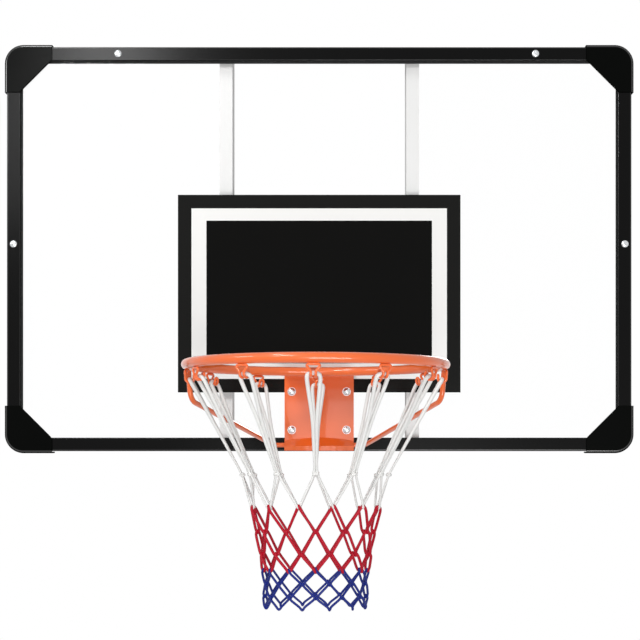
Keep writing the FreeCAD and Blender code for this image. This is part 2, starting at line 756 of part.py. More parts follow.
def knot_place(row, steps):
    """The knot of a net row, a number of half pitches round from the front."""
    turn = math.radians(FULL_TURN / HOOK_COUNT / 2 * steps)
    radius = NET_RADIUS_SHARES[row] * number("rim_radius")
    drop = NET_DROP_SHARES[row] * number("net_drop")
    return Vector(radius * math.sin(turn), -radius * math.cos(turn), -drop)


def tapered(start, end, start_radius, end_radius):
    """A straight run of cord that narrows between two points."""
    run = end - start
    return Part.makeCone(start_radius, end_radius, run.Length, start, run)


def make_loops():
    """The twelve white loops that hang on the hooks, each leg narrowing down to the first knots."""
    cord, thin = number("loop_cord") / 2, number("white_cord") / 2
    middle = (cord + thin) / 2
    gap = number("cord_gap")
    low = hook_levels()[-1]
    hang = Vector(0, -number("rim_radius + hook_outset - hook_trough_radius"),
                  low + number("hook_wire_radius") + cord + gap)
    knot = knot_place(0, 0)
    run = knot - hang
    down = Vector(run).normalize()
    shoulder = Vector(number("hook_foot_half + hook_wire_radius") + cord + 2 * gap, 0, 0)
    tops, legs = [], []
    for side in (-1, 1):
        corner = hang + shoulder * side
        meet = hang + run * LOOP_MEET_SHARE + Vector(side * (middle + gap / 2), 0, 0)
        foot = knot - down * (thin * KNOT_SHARES["white"] + gap) + Vector(side * (thin + gap / 2), 0, 0)
        top = corner + (meet - corner).normalize() * number("loop_leg_top")
        tops.append((top, corner))
        legs += [tapered(top, meet, cord, middle), Part.makeSphere(middle, meet),
                 tapered(meet, foot, middle, thin)]
    bend = number("loop_bend_radius")
    (left_top, left_corner), (right_top, right_corner) = tops
    bight = bent_rod([left_top, left_corner, right_corner, right_top], (bend, bend), cord)
    at_rim("net_loops", Part.makeCompound(ring_of(bight.multiFuse(legs))))


def net_band(node, cord, rows):
    """One colour of the net: its knots, and the cords from each row of them down to the next.

    A row is given as its number, how far it is lifted, and its knot radius as a share of the cord radius.
    """
    units = []
    for place, (row, lift, share) in enumerate(rows):
        centre = knot_place(row, row) + Vector(0, 0, lift)
        knot = Part.makeSphere(cord * share, centre)
        runs = []
        for below, below_lift, _ in rows[place + 1:place + 2]:
            for step in (-1, 1):
                reach = knot_place(below, row + step) + Vector(0, 0, below_lift) - centre
                runs.append(Part.makeCylinder(cord, reach.Length, centre, reach))
        units += ring_of(knot.multiFuse(runs) if runs else knot)
    at_rim(node, units[0].multiFuse(units[1:]).removeSplitter())


def make_net():
    """The knotted net below the loops: white, then red, then blue.

    The white and blue cords turn in a bight beside the red knots, a small gap away from them.
    """
    def knots(colour, rows):
        return [(row, 0, KNOT_SHARES[colour]) for row in rows]

    white, red, blue = (number(f"{colour}_cord") / 2 for colour in KNOT_SHARES)
    room = red * KNOT_SHARES["red"] + number("cord_gap")
    first_red = WHITE_ROW_COUNT
    first_blue = first_red + RED_ROW_COUNT
    last = len(NET_DROP_SHARES) - 1
    white_bight = (first_red, room + white * TIP_SHARE, TIP_SHARE)
    blue_bight = (first_blue - 1, -room - blue * TIP_SHARE, TIP_SHARE)
    net_band("net_white_mesh", white, knots("white", range(first_red)) + [white_bight])
    net_band("net_red_mesh", red, knots("red", range(first_red, first_blue)))
    net_band("net_blue_mesh", blue,
             [blue_bight] + knots("blue", range(first_blue, last)) + [(last, 0, TIP_SHARE)])


def make_rim_bolts():
    """Bolts, washers and nuts that clamp the bracket through the panel."""
    bolts = []
    washers = []
    nuts = []
    seat = "plate_front + rim_washer_thickness"
    nut_back = "backing_back - rim_nut_thickness"
    for index, (x, z) in enumerate(rim_bolt_places()):
        name = f"rim_bolt_{index}"
        head = dome(name + "_head", "rim_head_radius", "rim_head_height", x, seat, z)
        shank = pin(name + "_shank", "rim_bolt_radius", x, (f"{nut_back} - rim_bolt_tail", seat), z)
        crown = f"{seat} + rim_head_height"
        socket = hexagon(name + "_socket", "rim_socket_radius", x,
                         (f"{crown} - rim_socket_depth", f"{crown} + overrun"), z)
        bolts.append(cut(name, fuse(name + "_body", [head, shank]), [socket]))
        hole = "rim_bolt_radius + fit_clearance"
        ring = pin(name + "_washer_disc", "rim_washer_radius", x, ("plate_front", seat), z)
        bore = pin(name + "_washer_hole", hole, x, ("plate_front - overrun", f"{seat} + overrun"), z)
        washers.append(cut(name + "_washer", ring, [bore]))
        block = hexagon(name + "_nut_block", "rim_nut_radius", x, (nut_back, "backing_back"), z)
        thread = pin(name + "_nut_hole", "rim_bolt_radius + weld_gap", x,
                     (f"{nut_back} - overrun", "backing_back + overrun"), z)
        nuts.append(cut(name + "_nut", block, [thread]))
    piece("rim_bolts", group("rim_bolts", bolts))
    piece("rim_washers", group("rim_washers", washers))
    piece("rim_nuts", group("rim_nuts", nuts))


def make_screws():
    """Cross-recessed screws on the rail faces, and plain ones inside the bars."""
    face_screws = []
    crown = "rail_front + frame_head_height"
    for index, (x, z) in enumerate(frame_screw_places()):
        name = f"frame_screw_{index}"
        head = dome(name + "_head", "frame_head_radius", "frame_head_height", x, "rail_front", z)
        shank = pin(name + "_shank", "frame_screw_radius", x,
                    ("slot_back - rail_wall - frame_screw_tail", "rail_front"), z)
        front = (f"{crown} - recess_depth", f"{crown} + overrun")
        slots = []
        for wide, tall in (("recess_length", "recess_width"), ("recess_width", "recess_length")):
            slots.append(slab(name + "_slot", (f"{x} - {wide} / 2", f"{x} + {wide} / 2"), front,
                              (f"{z} - {tall} / 2", f"{z} + {tall} / 2")))
        face_screws.append(cut(name, fuse(name + "_body", [head, shank]), slots))
    piece("frame_screws", group("frame_screws", face_screws))
    bar_screws = []
    wall = "bar_depth - bar_wall"
    for side in (LEFT, RIGHT):
        for level in both_rows("bar_screw_level"):
            middle = f"{side} * bar_middle"
            head = pin("bar_screw_head", "bar_head_radius", middle,
                       (f"{wall} - bar_head_height", wall), level)
            shank = pin("bar_screw_shank", "bar_screw_radius", middle,
                        (wall, "bar_depth + rail_wall + bar_screw_tail"), level)
            bar_screws.append(fuse("bar_screw", [head, shank]))
    piece("bar_screws", group("bar_screws", bar_screws))


def write_pieces():
    """Check every object of the document, then write each piece to its own file."""
    doc.removeObject(working.Name)
    doc.recompute()
    for thing in doc.Objects:
        if "Invalid" in thing.State or "Error" in thing.State:
            raise RuntimeError(f"{thing.Label} did not build")
    for thing in pieces:
        if thing.Shape.isNull() or not thing.Shape.isValid() or not thing.Shape.Solids:
            raise RuntimeError(f"{thing.Label} has no valid solid")
    os.makedirs("parts", exist_ok=True)
    for thing in pieces:
        thing.Shape.exportStep(f"parts/{thing.Label}.step")
        print(thing.Label, len(thing.Shape.Solids), round(thing.Shape.Volume))


fill_sheet()
make_rails()
make_panel()
make_target()
make_corners()
make_bars()
make_crossbar()
make_bracket()
make_rim()
make_hooks()
make_loops()
make_net()
make_rim_bolts()
make_screws()
write_pieces()
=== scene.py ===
"""Looks of a basketball backboard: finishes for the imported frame, a net of cord and a plain studio."""

import logging
import math
from abc import ABC, abstractmethod
from dataclasses import dataclass, field
from enum import Enum
from types import MappingProxyType
from typing import ClassVar, Mapping, Sequence, Union

import bpy
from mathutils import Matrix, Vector


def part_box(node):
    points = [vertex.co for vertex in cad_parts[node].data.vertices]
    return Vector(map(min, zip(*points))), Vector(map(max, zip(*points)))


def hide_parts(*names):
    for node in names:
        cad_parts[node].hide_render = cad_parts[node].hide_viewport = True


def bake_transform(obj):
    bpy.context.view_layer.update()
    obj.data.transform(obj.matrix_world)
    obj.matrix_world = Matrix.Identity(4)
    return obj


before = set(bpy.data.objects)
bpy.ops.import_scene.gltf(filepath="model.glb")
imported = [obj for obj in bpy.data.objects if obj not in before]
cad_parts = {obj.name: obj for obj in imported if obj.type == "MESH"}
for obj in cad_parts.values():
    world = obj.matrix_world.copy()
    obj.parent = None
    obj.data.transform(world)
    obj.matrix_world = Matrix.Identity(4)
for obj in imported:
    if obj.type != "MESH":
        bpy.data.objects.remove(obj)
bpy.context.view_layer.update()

LOG = logging.getLogger("backboard")
METRE = 0.001
WHITE = "#FFFFFF"
# Distance at which the wave texture's diagonal bands repeat, at a scale of 1.
WAVE_PERIOD = math.tau / 10.0
# Places of the sockets of a mix node, whose names repeat from one kind of value to the next.
MIX_FACTOR = 0
MIX_NUMBER_A = 2
MIX_NUMBER_B = 3
MIX_NUMBER_OUT = 0
MIX_COLOUR_A = 6
MIX_COLOUR_B = 7
MIX_COLOUR_OUT = 2
NOTHING: Mapping = MappingProxyType({})

Key = Union[int, str]
Tree = bpy.types.NodeTree
Node = bpy.types.Node


class Body(str, Enum):
    """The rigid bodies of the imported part."""

    BOARD = "backboard"
    NET = "net_tail"


def linear(colour: str) -> tuple[float, float, float, float]:
    """Turn an sRGB hex colour into the linear values that a shader takes.

    Args:
        colour: Six hex digits after a hash sign.

    Returns:
        Red, green, blue and a full alpha.
    """
    shares = [int(colour[start:start + 2], 16) / 255.0 for start in (1, 3, 5)]
    red, green, blue = (share / 12.92 if share <= 0.04045 else ((share + 0.055) / 1.055) ** 2.4
                        for share in shares)
    return red, green, blue, 1.0


def add_node(tree: Tree, kind: str, settings: Mapping[Key, object] = NOTHING,
             links: Mapping[Key, bpy.types.NodeSocket] = NOTHING) -> Node:
    """Add a node with its settings and links.

    Args:
        tree: The tree that takes the node.
        kind: Blender's name for the kind of node.
        settings: Values for input sockets, by name or place, and for the node's own options.
        links: Output sockets that feed input sockets, by name or place.

    Returns:
        The new node.
    """
    node = tree.nodes.new(kind)
    for key, value in settings.items():
        if isinstance(key, int) or key in node.inputs:
            node.inputs[key].default_value = value
        else:
            setattr(node, key, value)
    for key, source in links.items():
        tree.links.new(source, node.inputs[key])
    return node


def mix_colours(tree: Tree, first: str, second: str, share: bpy.types.NodeSocket) -> bpy.types.NodeSocket:
    """Blend two colours.

    Args:
        tree: The tree that takes the node.
        first: The colour at a share of 0, as sRGB hex.
        second: The colour at a share of 1.
        share: The socket that gives the share.

    Returns:
        The socket of the blended colour.
    """
    blend = add_node(tree, "ShaderNodeMix", {
        "data_type": "RGBA", MIX_COLOUR_A: linear(first), MIX_COLOUR_B: linear(second),
    }, {MIX_FACTOR: share})
    return blend.outputs[MIX_COLOUR_OUT]


@dataclass(frozen=True)
class Finish(ABC):
    """A surface finish: one material, made once and shared by every piece that has it.

    Attributes:
        name: What the material is.
        slot: The record's material slot.
        colour: Its colour as sRGB hex.
        roughness: How far its gloss is spread.
        specular: How much it mirrors, where a half is plain plastic or paint.
    """

    name: str
    slot: str
    colour: str
    roughness: float
    specular: float = 0.5

    made: ClassVar[dict[str, bpy.types.Material]] = {}

    def material(self) -> bpy.types.Material:
        """Return the material, made at its first use."""
        if self.name not in Finish.made:
            material = bpy.data.materials.new(self.name)
            material.use_nodes = True
            tree = material.node_tree
            tree.nodes.clear()
            shader = add_node(tree, "ShaderNodeBsdfPrincipled", {
                "Base Color": linear(self.colour),
                "Roughness": self.roughness,
                "Specular IOR Level": self.specular,
            })
            add_node(tree, "ShaderNodeOutputMaterial", links={"Surface": shader.outputs["BSDF"]})
            self.shade(tree, shader)
            Finish.made[self.name] = material
        return Finish.made[self.name]

    @abstractmethod
    def shade(self, tree: Tree, shader: Node) -> None:
        """Add what this kind of finish has beyond its colour and gloss.

        Args:
            tree: The material's node tree.
            shader: Its main shader.
        """

    def dress(self, piece: bpy.types.Object) -> None:
        """Give a piece this finish.

        Args:
            piece: A mesh of the part.
        """
        piece.data.materials.clear()
        piece.data.materials.append(self.material())
        LOG.info("%s: %s", piece.name, self.name)


@dataclass(frozen=True)
class GrainedFinish(Finish):
    """A finish whose surface has a fine all-over grain.

    Attributes:
        grain_mm: Real width of one grain or ripple.
        relief_mm: Height of the grain.
        shade_colour: Colour in the hollows of a broad, faint unevenness.
        uneven_mm: Width of that unevenness.
        metallic: 1 for bare metal.
        coat: Weight of a clear gloss layer on top.
        coat_roughness: How far the gloss of that layer is spread.
    """

    GRAIN_DETAIL: ClassVar[float] = 2.0
    UNEVEN_DETAIL: ClassVar[float] = 1.0

    grain_mm: float = 1.0
    relief_mm: float = 0.01
    shade_colour: str = "#000000"
    uneven_mm: float = 80.0
    metallic: float = 0.0
    coat: float = 0.0
    coat_roughness: float = 0.08

    def shade(self, tree: Tree, shader: Node) -> None:
        """Add the grain, the unevenness and the clear layer."""
        shader.inputs["Metallic"].default_value = self.metallic
        shader.inputs["Coat Weight"].default_value = self.coat
        shader.inputs["Coat Roughness"].default_value = self.coat_roughness
        place = add_node(tree, "ShaderNodeTexCoord")
        grain = add_node(tree, "ShaderNodeTexNoise", {
            "Scale": 1 / (self.grain_mm * METRE), "Detail": self.GRAIN_DETAIL,
        }, {"Vector": place.outputs["Object"]})
        bump = add_node(tree, "ShaderNodeBump", {"Strength": 1.0, "Distance": self.relief_mm * METRE},
                        {"Height": grain.outputs["Fac"]})
        tree.links.new(bump.outputs["Normal"], shader.inputs["Normal"])
        drift = add_node(tree, "ShaderNodeTexNoise", {
            "Scale": 1 / (self.uneven_mm * METRE), "Detail": self.UNEVEN_DETAIL,
        }, {"Vector": place.outputs["Object"]})
        tint = mix_colours(tree, self.colour, self.shade_colour, drift.outputs["Fac"])
        tree.links.new(tint, shader.inputs["Base Color"])


@dataclass(frozen=True)
class EdgedFinish(GrainedFinish):
    """A grained finish with a satin face, a bright line where its edge begins to round, and matt walls.

    Attributes:
        edge_specular: How much that line mirrors.
        line_degrees: Turns from the front at which the line starts, is full, starts to fade and ends.
    """

    edge_specular: float = 0.8
    line_degrees: tuple[float, float, float, float] = (2.0, 8.0, 24.0, 34.0)

    def shade(self, tree: Tree, shader: Node) -> None:
        """Add the grain, then a gloss that depends on how far the surface turns from the front."""
        super().shade(tree, shader)
        place = add_node(tree, "ShaderNodeTexCoord")
        parts = add_node(tree, "ShaderNodeSeparateXYZ", links={"Vector": place.outputs["Normal"]})
        facing = add_node(tree, "ShaderNodeMath", {"operation": "ABSOLUTE"}, {0: parts.outputs["Y"]})
        start, full, fading, end = (math.cos(math.radians(turn)) for turn in self.line_degrees)
        rise = add_node(tree, "ShaderNodeMapRange", {
            "From Min": start, "From Max": full, "To Min": self.specular, "To Max": self.edge_specular,
        }, {"Value": facing.outputs["Value"]})
        fall = add_node(tree, "ShaderNodeMapRange", {"From Min": end, "From Max": fading},
                        {"Value": facing.outputs["Value"]})
        level = add_node(tree, "ShaderNodeMath", {"operation": "MULTIPLY"},
                         {0: rise.outputs["Result"], 1: fall.outputs["Result"]})
        tree.links.new(level.outputs["Value"], shader.inputs["Specular IOR Level"])


@dataclass(frozen=True)
class ClearSheet(Finish):
    """Cast clear acrylic: a polished see-through sheet.

    Attributes:
        cover: How much of what lies behind it is hidden.
        refraction: Its index of refraction.
    """

    cover: float = 0.015
    refraction: float = 1.49

    def shade(self, tree: Tree, shader: Node) -> None:
        """Let the sheet be seen through, with the gloss of acrylic on top."""
        shader.inputs["IOR"].default_value = self.refraction
        shader.inputs["Alpha"].default_value = self.cover


@dataclass(frozen=True)
class BraidedCord(Finish):
    """Braided polyester cord: two sets of strands that cross over a soft core.

    Attributes:
        gap_shade_colour: Painted shade: a darker colour in the gaps between strands, where shade falls.
        strands: Strands of each set round the cord.
        lay_mm: Distance along the cord between strands of one set.
        relief_mm: How far the strands stand out.
    """

    RELIEF_STRENGTH: ClassVar[float] = 0.6

    gap_shade_colour: str = "#000000"
    strands: int = 6
    lay_mm: float = 3.2
    relief_mm: float = 0.35

    def shade(self, tree: Tree, shader: Node) -> None:
        """Cross two sets of slanted bands into a braid, which lifts the strands and tints them darker
        towards the gaps as painted shade.
        """
        place = add_node(tree, "ShaderNodeUVMap", {"uv_map": Cord.UV_NAME})
        bands = []
        for way in (1, -1):
            turn = add_node(tree, "ShaderNodeMapping", {
                "Scale": (way * self.strands * WAVE_PERIOD, WAVE_PERIOD / (self.lay_mm * METRE), 1.0),
            }, {"Vector": place.outputs["UV"]})
            bands.append(add_node(tree, "ShaderNodeTexWave", {
                "wave_type": "BANDS", "bands_direction": "DIAGONAL", "Scale": 1.0,
            }, {"Vector": turn.outputs["Vector"]}))
        braid = add_node(tree, "ShaderNodeMath", {"operation": "MAXIMUM"},
                         {0: bands[0].outputs["Fac"], 1: bands[1].outputs["Fac"]})
        # Painted shade: the colour darkens from the middle of each strand into the gaps between strands.
        tint = mix_colours(tree, self.gap_shade_colour, self.colour, braid.outputs["Value"])
        tree.links.new(tint, shader.inputs["Base Color"])
        bump = add_node(tree, "ShaderNodeBump", {
            "Strength": self.RELIEF_STRENGTH, "Distance": self.relief_mm * METRE,
        }, {"Height": braid.outputs["Value"]})
        tree.links.new(bump.outputs["Normal"], shader.inputs["Normal"])


# Cast acrylic sheet, polished: nearly unseen from the front, with a hard gloss at a slant.
CLEAR_ACRYLIC = ClearSheet("clear_cast_acrylic", "clear_panel", "#F4F8F8", 0.02)
# Screen-printed vinyl behind a clear gloss: deep even black that mirrors the rim faintly.
BLACK_FIELD = GrainedFinish("black_printed_vinyl", "black_print", "#080807", 0.12, 0.06,
                            grain_mm=3.0, relief_mm=0.001, shade_colour="#0A0A09")
# The same print in one coat of ink: a little paler.
BLACK_BORDER = GrainedFinish("thin_black_printed_vinyl", "black_print", "#151514", 0.12, 0.085,
                             grain_mm=3.0, relief_mm=0.001, shade_colour="#171716")
# The same print in white ink: flat and bright.
WHITE_PRINT = GrainedFinish("white_printed_vinyl", "white_print", "#F4F4F2", 0.25, 0.3,
                            grain_mm=3.0, relief_mm=0.001, shade_colour="#F2F2F0")
# Powder-coated steel rail: satin black face with a fine orange peel, a sheen along its rounded
# edges and matt walls.
BLACK_RAIL = EdgedFinish("black_powder_coated_steel", "black_rail", "#050505", 0.215, 0.085,
                         grain_mm=1.6, relief_mm=0.008, shade_colour="#070707")
# Moulded ABS cap: black, a little duller than the rails, with a grained face and a polished rounded edge.
BLACK_CAP = EdgedFinish("black_moulded_abs", "black_cap", "#040504", 0.22, 0.03,
                        grain_mm=0.9, relief_mm=0.006, shade_colour="#060706")
# Moulded nylon key, grey and waxy.
GREY_KEY = GrainedFinish("grey_moulded_nylon", "grey_key", "#5A5C5E", 0.5, 0.4,
                         grain_mm=0.8, relief_mm=0.01, shade_colour="#54565A")
# White stoved enamel on steel tube: a smooth glossy face with almost no texture, and matt sides.
WHITE_BAR = EdgedFinish("white_enamelled_steel", "white_bar", "#F0F0EF", 0.25, 0.4,
                        grain_mm=2.5, relief_mm=0.01, shade_colour="#ECECEB", edge_specular=0.4)
# Moulded polypropylene plug, milky white and soft in its gloss.
WHITE_PLUG = GrainedFinish("white_moulded_polypropylene", "white_plug", "#E6E6E2", 0.45, 0.4,
                           grain_mm=1.0, relief_mm=0.01, shade_colour="#E0E0DC")
# Orange enamel over steel rod and plate: wet gloss with long highlights and a faint orange peel.
ORANGE_RIM = GrainedFinish("orange_enamelled_steel", "orange_rim", "#F06B28", 0.3, 0.3,
                           grain_mm=2.2, relief_mm=0.004, shade_colour="#ED6724", coat=0.7,
                           coat_roughness=0.05)
# Sheet rubber: matt near-black.
BLACK_RUBBER = GrainedFinish("black_sheet_rubber", "black_rubber", "#141414", 0.7, 0.3,
                             grain_mm=0.7, relief_mm=0.02, shade_colour="#181818")
# Bright zinc plate on steel: pale silver, lightly brushed by tumbling.
BRIGHT_ZINC = GrainedFinish("bright_zinc_plated_steel", "zinc", "#D2D4D6", 0.24,
                            grain_mm=0.6, relief_mm=0.008, shade_colour="#C9CCCE", uneven_mm=6.0,
                            metallic=1.0)
# Braided polyester cord: soft strands with shaded gaps. The braid is drawn coarser than the real
# one, which has strands about a millimetre wide, so that it shows.
WHITE_CORD = BraidedCord("white_braided_polyester", "white_cord", "#EFEFED", 0.6, 0.2,
                         gap_shade_colour="#D6D6D4", relief_mm=0.2)
RED_CORD = BraidedCord("red_braided_polyester", "red_cord", "#C0122B", 0.5, 0.2,
                       gap_shade_colour="#8A0A1E", relief_mm=0.15)
BLUE_CORD = BraidedCord("blue_braided_polyester", "blue_cord", "#1B2C86", 0.5, 0.2,
                        gap_shade_colour="#101B5C", relief_mm=0.15)


def dress_nodes(finishes: Mapping[str, Finish]) -> None:
    """Give CAD nodes their finishes.

    Args:
        finishes: The finish of each node.
    """
    for node, finish in finishes.items():
        finish.dress(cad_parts[node])


@dataclass
class Panel:
    """The clear panel and the target printed on it."""

    def dress(self) -> None:
        """Dress the panel and the three layers of the target."""
        dress_nodes({"panel": CLEAR_ACRYLIC, "target_border": BLACK_BORDER,
                     "target_band": WHITE_PRINT, "target_field": BLACK_FIELD})


@dataclass
class BoardFrame:
    """The rails, corner caps and keys round the panel, and the screws on their faces."""

    sides: tuple[str, ...] = ("top", "bottom", "left", "right")
    corners: tuple[str, ...] = ("top_left", "top_right", "bottom_left", "bottom_right")

    def dress(self) -> None:
        """Dress the rails, caps, keys and screws."""
        dress_nodes({f"rail_{side}": BLACK_RAIL for side in self.sides})
        dress_nodes({f"corner_cap_{corner}": BLACK_CAP for corner in self.corners})
        dress_nodes({f"corner_key_{corner}": GREY_KEY for corner in self.corners})
        dress_nodes({"frame_screws": BRIGHT_ZINC})


@dataclass
class Supports:
    """The bars behind the panel with the crossbar, backing plate and what fastens them."""

    def dress(self) -> None:
        """Dress the bars and their fittings."""
        steel = ("support_bar_left", "support_bar_right", "rear_crossbar", "backing_plate")
        dress_nodes({node: WHITE_BAR for node in steel})
        dress_nodes({"bar_end_plugs": WHITE_PLUG, "wall_inserts": BRIGHT_ZINC, "bar_screws": BRIGHT_ZINC})


@dataclass
class Rim:
    """The ring with its bracket, braces and hooks, and the bolts that clamp it."""

    def dress(self) -> None:
        """Dress the enamelled steel and the fasteners."""
        steel = ("rim_ring", "rim_bracket", "rim_brace_left", "rim_brace_right", "net_hooks")
        dress_nodes({node: ORANGE_RIM for node in steel})
        dress_nodes({node: BRIGHT_ZINC for node in ("rim_bolts", "rim_washers", "rim_nuts")})
        dress_nodes({"rim_gasket": BLACK_RUBBER})


class Cord:
    """A mesh of round cords, each swept along its own smooth line.

    Attributes:
        UV_NAME: The map that runs once round a cord and along it in metres.
        SIDES: Faces round a cord.
        STEPS: Samples of its line between two control points.
    """

    UV_NAME: ClassVar[str] = "cord"
    SIDES: ClassVar[int] = 12
    STEPS: ClassVar[int] = 5

    def __init__(self) -> None:
        """Start with no cords."""
        self.points: list[Vector] = []
        self.faces: list[tuple[int, ...]] = []
        self.corners: list[tuple[float, float]] = []

    @classmethod
    def smooth(cls, controls: Sequence[Vector]) -> list[Vector]:
        """Sample the closed cubic B-spline of some control points.

        Args:
            controls: Points with the cord's radius as a fourth value.

        Returns:
            Samples of the same kind along the curve.
        """
        samples = []
        count = len(controls)
        for index in range(count):
            a, b, c, d = (controls[(index + step) % count] for step in range(4))
            for step in range(cls.STEPS):
                t = step / cls.STEPS
                samples.append((a * (1 - t) ** 3 + b * (3 * t ** 3 - 6 * t ** 2 + 4)
                                + c * (-3 * t ** 3 + 3 * t ** 2 + 3 * t + 1) + d * t ** 3) / 6)
        return samples

    def lay(self, controls: Sequence[Vector]) -> None:
        """Sweep a closed cord along the smooth curve of its control points.

        Args:
            controls: Points with the cord's radius as a fourth value.
        """
        samples = self.smooth(controls)
        line = [sample.to_3d() for sample in samples]
        count = len(line)
        tangents = [(line[(index + 1) % count] - line[index - 1]).normalized() for index in range(count)]
        normals = [tangents[0].orthogonal().normalized()]
        for before, after in zip(tangents, tangents[1:] + tangents[:1]):
            normals.append(before.rotation_difference(after) @ normals[-1])
        twist = math.atan2(normals[-1].cross(normals[0]).dot(tangents[0]), normals[-1].dot(normals[0]))
        first = len(self.points)
        reach = [0.0]
        for index in range(count):
            reach.append(reach[-1] + (line[(index + 1) % count] - line[index]).length)
            across = normals[index]
            other = tangents[index].cross(across)
            for side in range(self.SIDES):
                angle = math.tau * side / self.SIDES + twist * index / count
                spoke = across * math.cos(angle) + other * math.sin(angle)
                self.points.append(line[index] + spoke * samples[index].w)
        for index in range(count):
            here = first + index * self.SIDES
            following = first + (index + 1) % count * self.SIDES
            for side in range(self.SIDES):
                beside = (side + 1) % self.SIDES
                self.faces.append((here + side, here + beside, following + beside, following + side))
                low, high = side / self.SIDES, (side + 1) / self.SIDES
                start, end = reach[index], reach[index + 1]
                self.corners += [(low, start), (high, start), (high, end), (low, end)]

    def piece(self, name: str) -> bpy.types.Object:
        """Make the mesh object of all the cords laid so far.

        Args:
            name: The piece's name.

        Returns:
            The new object, linked to the scene.
        """
        mesh = bpy.data.meshes.new(name)
        mesh.from_pydata(self.points, [], self.faces)
        layer = mesh.uv_layers.new(name=self.UV_NAME)
        layer.data.foreach_set("uv", [value for corner in self.corners for value in corner])
        mesh.polygons.foreach_set("use_smooth", [True] * len(mesh.polygons))
        mesh.update()
        piece = bpy.data.objects.new(name, mesh)
        bpy.context.scene.collection.objects.link(piece)
        return piece


@dataclass
class Net:
    """The net: one white cord over all the hooks, then rings of red and blue cord hooked into each other.

    Sizes are in millimetres, drops are from the plane of the ring.

    Attributes:
        hooks: Hooks round the ring.
        drops: Drop of each row of knots, halfway between front and back.
        radii: Distance of each row from the middle of the net.
        lean: How far the net hangs lower at the back than halfway, from its second row down.
        twist: Degrees by which those rows are turned, the front to the right.
        drift: How far those rows hang to the right of the ring's middle.
        red_row: The first row of red bights.
        blue_row: The first row of blue bights.
        hang_drop: Drop of the cord where it lies in the hooks.
        hang_radius: Distance of that place from the middle of the net.
        legs: The white cord from hook to knot: share of the way, half the width of the pair, cord radius.
        red_radius: Radius of the red cord.
        blue_radius: Radius of the blue cord.
        sway_row: Not used. It names the row from which the net was meant to follow the swinging body
            whole.
        bend_aside: Half the width of a bend at a knot, in cord widths.
        bend_out: How far its two ends lie inside and outside the net, in cord widths.
        bend_rise: How far its ends reach past the knot, in cord widths.
        bend_tip: How far its tip reaches past the knot the other way, in cord widths.
        tie_aside: How far a turn round the legs lies beside them, in cord radii.
        tie_out: How far it lies in front of and behind them, in cord radii.
        tie_share: Its radius as a share of the cord's.
        tie_points: Control points of such a turn.
        straight_shares: Shares of the way at which a run of cord is held straight.
        middle: The middle of the ring.
    """

    hooks: int = 12
    drops: tuple[float, ...] = (201.6, 262.1, 306.2, 347.1, 376.9, 400.5, 424.5, 444.0)
    radii: tuple[float, ...] = (134.5, 118.4, 106.2, 100.4, 95.2, 93.0, 93.0, 93.0)
    lean: float = 9.0
    twist: float = 1.5
    drift: float = -0.8
    red_row: int = 1
    blue_row: int = 4
    hang_drop: float = 25.3
    hang_radius: float = 232.0
    legs: tuple[tuple[float, float, float], ...] = (
        (1.0, 2.1, 2.1), (0.9, 2.1, 2.1), (0.82, 2.2, 2.2), (0.76, 2.7, 2.7), (0.62, 3.0, 3.0),
        (0.47, 3.3, 3.2), (0.3, 6.4, 3.4), (0.14, 9.8, 3.6), (0.04, 11.6, 3.7), (0.0, 9.6, 3.7))
    red_radius: float = 2.6
    blue_radius: float = 2.25
    sway_row: int = 3
    bend_aside: float = 0.62
    bend_out: float = 0.7
    bend_rise: float = 0.6
    bend_tip: float = 0.95
    tie_aside: float = 1.5
    tie_out: float = 1.9
    tie_share: float = 0.9
    tie_points: int = 8
    straight_shares: tuple[float, float] = (0.25, 0.75)
    middle: Vector = field(init=False)

    def __post_init__(self) -> None:
        """Find the middle of the ring."""
        low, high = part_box("rim_ring")
        self.middle = (low + high) / 2

    def place(self, steps: float, aside: float, out: float, drop: float, radius: float) -> Vector:
        """A control point of a cord.

        Args:
            steps: Half hook spacings round from the front.
            aside: Distance to the right of there, seen from outside.
            out: Distance from the middle of the net.
            drop: Distance below the plane of the ring.
            radius: The cord's radius there.

        Returns:
            The point in metres, with the radius as its fourth value.
        """
        depth = (drop - self.hang_drop) / (self.drops[1] - self.hang_drop)
        share = min(max(depth, 0.0), 1.0)
        turn = math.pi / self.hooks * steps + math.radians(self.twist) * share
        x = out * math.sin(turn) + aside * math.cos(turn) + self.drift * share
        y = -out * math.cos(turn) + aside * math.sin(turn)
        z = self.lean * share * math.cos(turn) - drop
        spot = self.middle + Vector((x, y, z)) * METRE
        return Vector((*spot, radius * METRE))

    def bight(self, row: int, steps: float, radius: float, way: int) -> list[Vector]:
        """A bend of cord that hooks into another at a knot, from left to right.

        Args:
            row: The row of the knot.
            steps: Half hook spacings round from the front.
            radius: The cord's radius.
            way: 1 for a bend that opens upwards, -1 for one that opens downwards.

        Returns:
            Control points of the bend.
        """
        width = 2 * radius
        out, drop = self.radii[row], self.drops[row]
        aside = self.bend_aside * width
        apart = way * self.bend_out * width
        rise = way * self.bend_rise * width
        tip = way * self.bend_tip * width
        return [self.place(steps, -aside, out + apart, drop - rise, radius),
                self.place(steps, 0.0, out, drop + tip, radius),
                self.place(steps, aside, out - apart, drop - rise, radius)]

    def between(self, start: Vector, end: Vector) -> list[Vector]:
        """Hold a run of cord straight between its ends.

        Args:
            start: The control point before the run.
            end: The control point after it.

        Returns:
            Control points on the straight line between them.
        """
        return [start.lerp(end, share) for share in self.straight_shares]

    def white_loop(self, hook: int) -> list[Vector]:
        """The white cord up to a hook, through it and down again.

        Args:
            hook: The number of the hook from the front.

        Returns:
            Control points from the knot on the left leg to the knot on the right leg.
        """
        leg = []
        for share, half, radius in self.legs:
            out = self.hang_radius + (self.radii[0] - self.hang_radius) * share
            drop = self.hang_drop + (self.drops[0] - self.hang_drop) * share
            leg.append((half, out, drop, radius))
        left = [self.place(2 * hook, -half, *rest) for half, *rest in leg]
        right = [self.place(2 * hook, half, *rest) for half, *rest in reversed(leg)]
        return left + right

